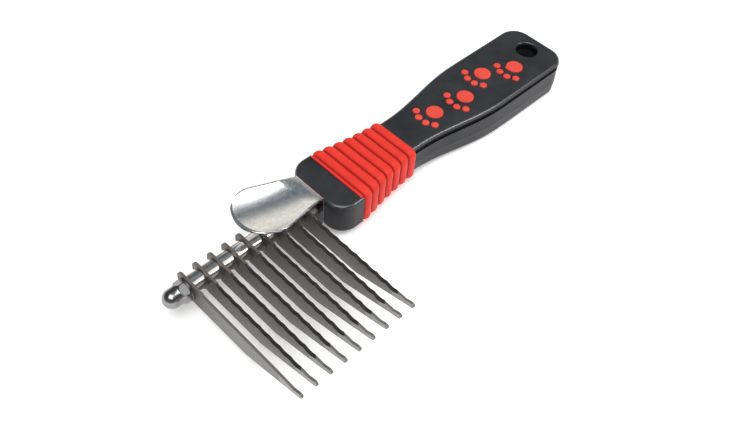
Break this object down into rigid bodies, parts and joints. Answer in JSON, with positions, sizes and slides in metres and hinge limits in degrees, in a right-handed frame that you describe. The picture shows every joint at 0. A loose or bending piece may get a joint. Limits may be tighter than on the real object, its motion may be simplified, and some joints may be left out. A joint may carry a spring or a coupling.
{
  "type": "undercoat rake",
  "caption": "Hand-held undercoat rake with parallel scalloped blades clamped on a rod, a dished thumb plate and a flat handle with a ribbed red grip and a hang hole.",
  "frame": {"origin": "on the axis of the hang hole, level with the rod that carries the blades", "axes": "+X from the blades to the tail along the handle, -Y the way the blades point, +Z the side with the thumb plate and the paw prints"},
  "size_m": [0.2092, 0.0766, 0.0258],
  "materials": {
    "blade_steel": "ground steel, dark and finely grained",
    "polished_tube": "polished nickel-plated tube",
    "rod_steel": "plated threaded rod",
    "plated_nut": "dark bright-plated nut",
    "spring_steel": "dark spring steel",
    "plated_steel": "zinc-plated steel",
    "plated_sheet": "bright plated sheet, faintly mottled",
    "black_plastic": "satin black moulded plastic",
    "red_grip": "soft red moulded rubber",
    "red_inlay": "soft red moulded rubber"
  },
  "bodies": {
    "handle": {"blade_1": "blade_steel", "blade_2": "blade_steel", "blade_3": "blade_steel", "blade_4": "blade_steel", "blade_5": "blade_steel", "blade_6": "blade_steel", "blade_7": "blade_steel", "blade_8": "blade_steel", "blade_9": "blade_steel", "spacer_1": "polished_tube", "spacer_2": "polished_tube", "spacer_3": "polished_tube", "spacer_4": "polished_tube", "spacer_5": "polished_tube", "spacer_6": "polished_tube", "spacer_7": "polished_tube", "spacer_8": "polished_tube", "spacer_9": "polished_tube", "paw_print_1": "red_inlay", "paw_print_2": "red_inlay", "paw_print_3": "red_inlay", "paw_print_4": "red_inlay", "tie_rod": "rod_steel", "anchor_nut": "plated_steel", "anchor_washer": "plated_steel", "thumb_plate": "plated_sheet", "handle_body": "black_plastic", "handle_cover": "black_plastic", "grip_sleeve": "red_grip"},
    "washer": {"lock_washer": "spring_steel"},
    "nut": {"cap_nut": "plated_nut"}
  },
  "joints": [
    {"name": "washer_slide", "type": "slide", "parent": "handle", "child": "washer", "axis": [-1, 0, 0], "range_m": [0, 0.0048]},
    {"name": "nut_turn", "type": "hinge", "parent": "washer", "child": "nut", "pos_m": [-0.19, 0, 0], "axis": [-1, 0, 0], "range_deg": [0, 2160]}
  ],
  "couplings": [
    {"joint": "nut_turn", "follows": "washer_slide", "rad_per_m": 7854}
  ]
}
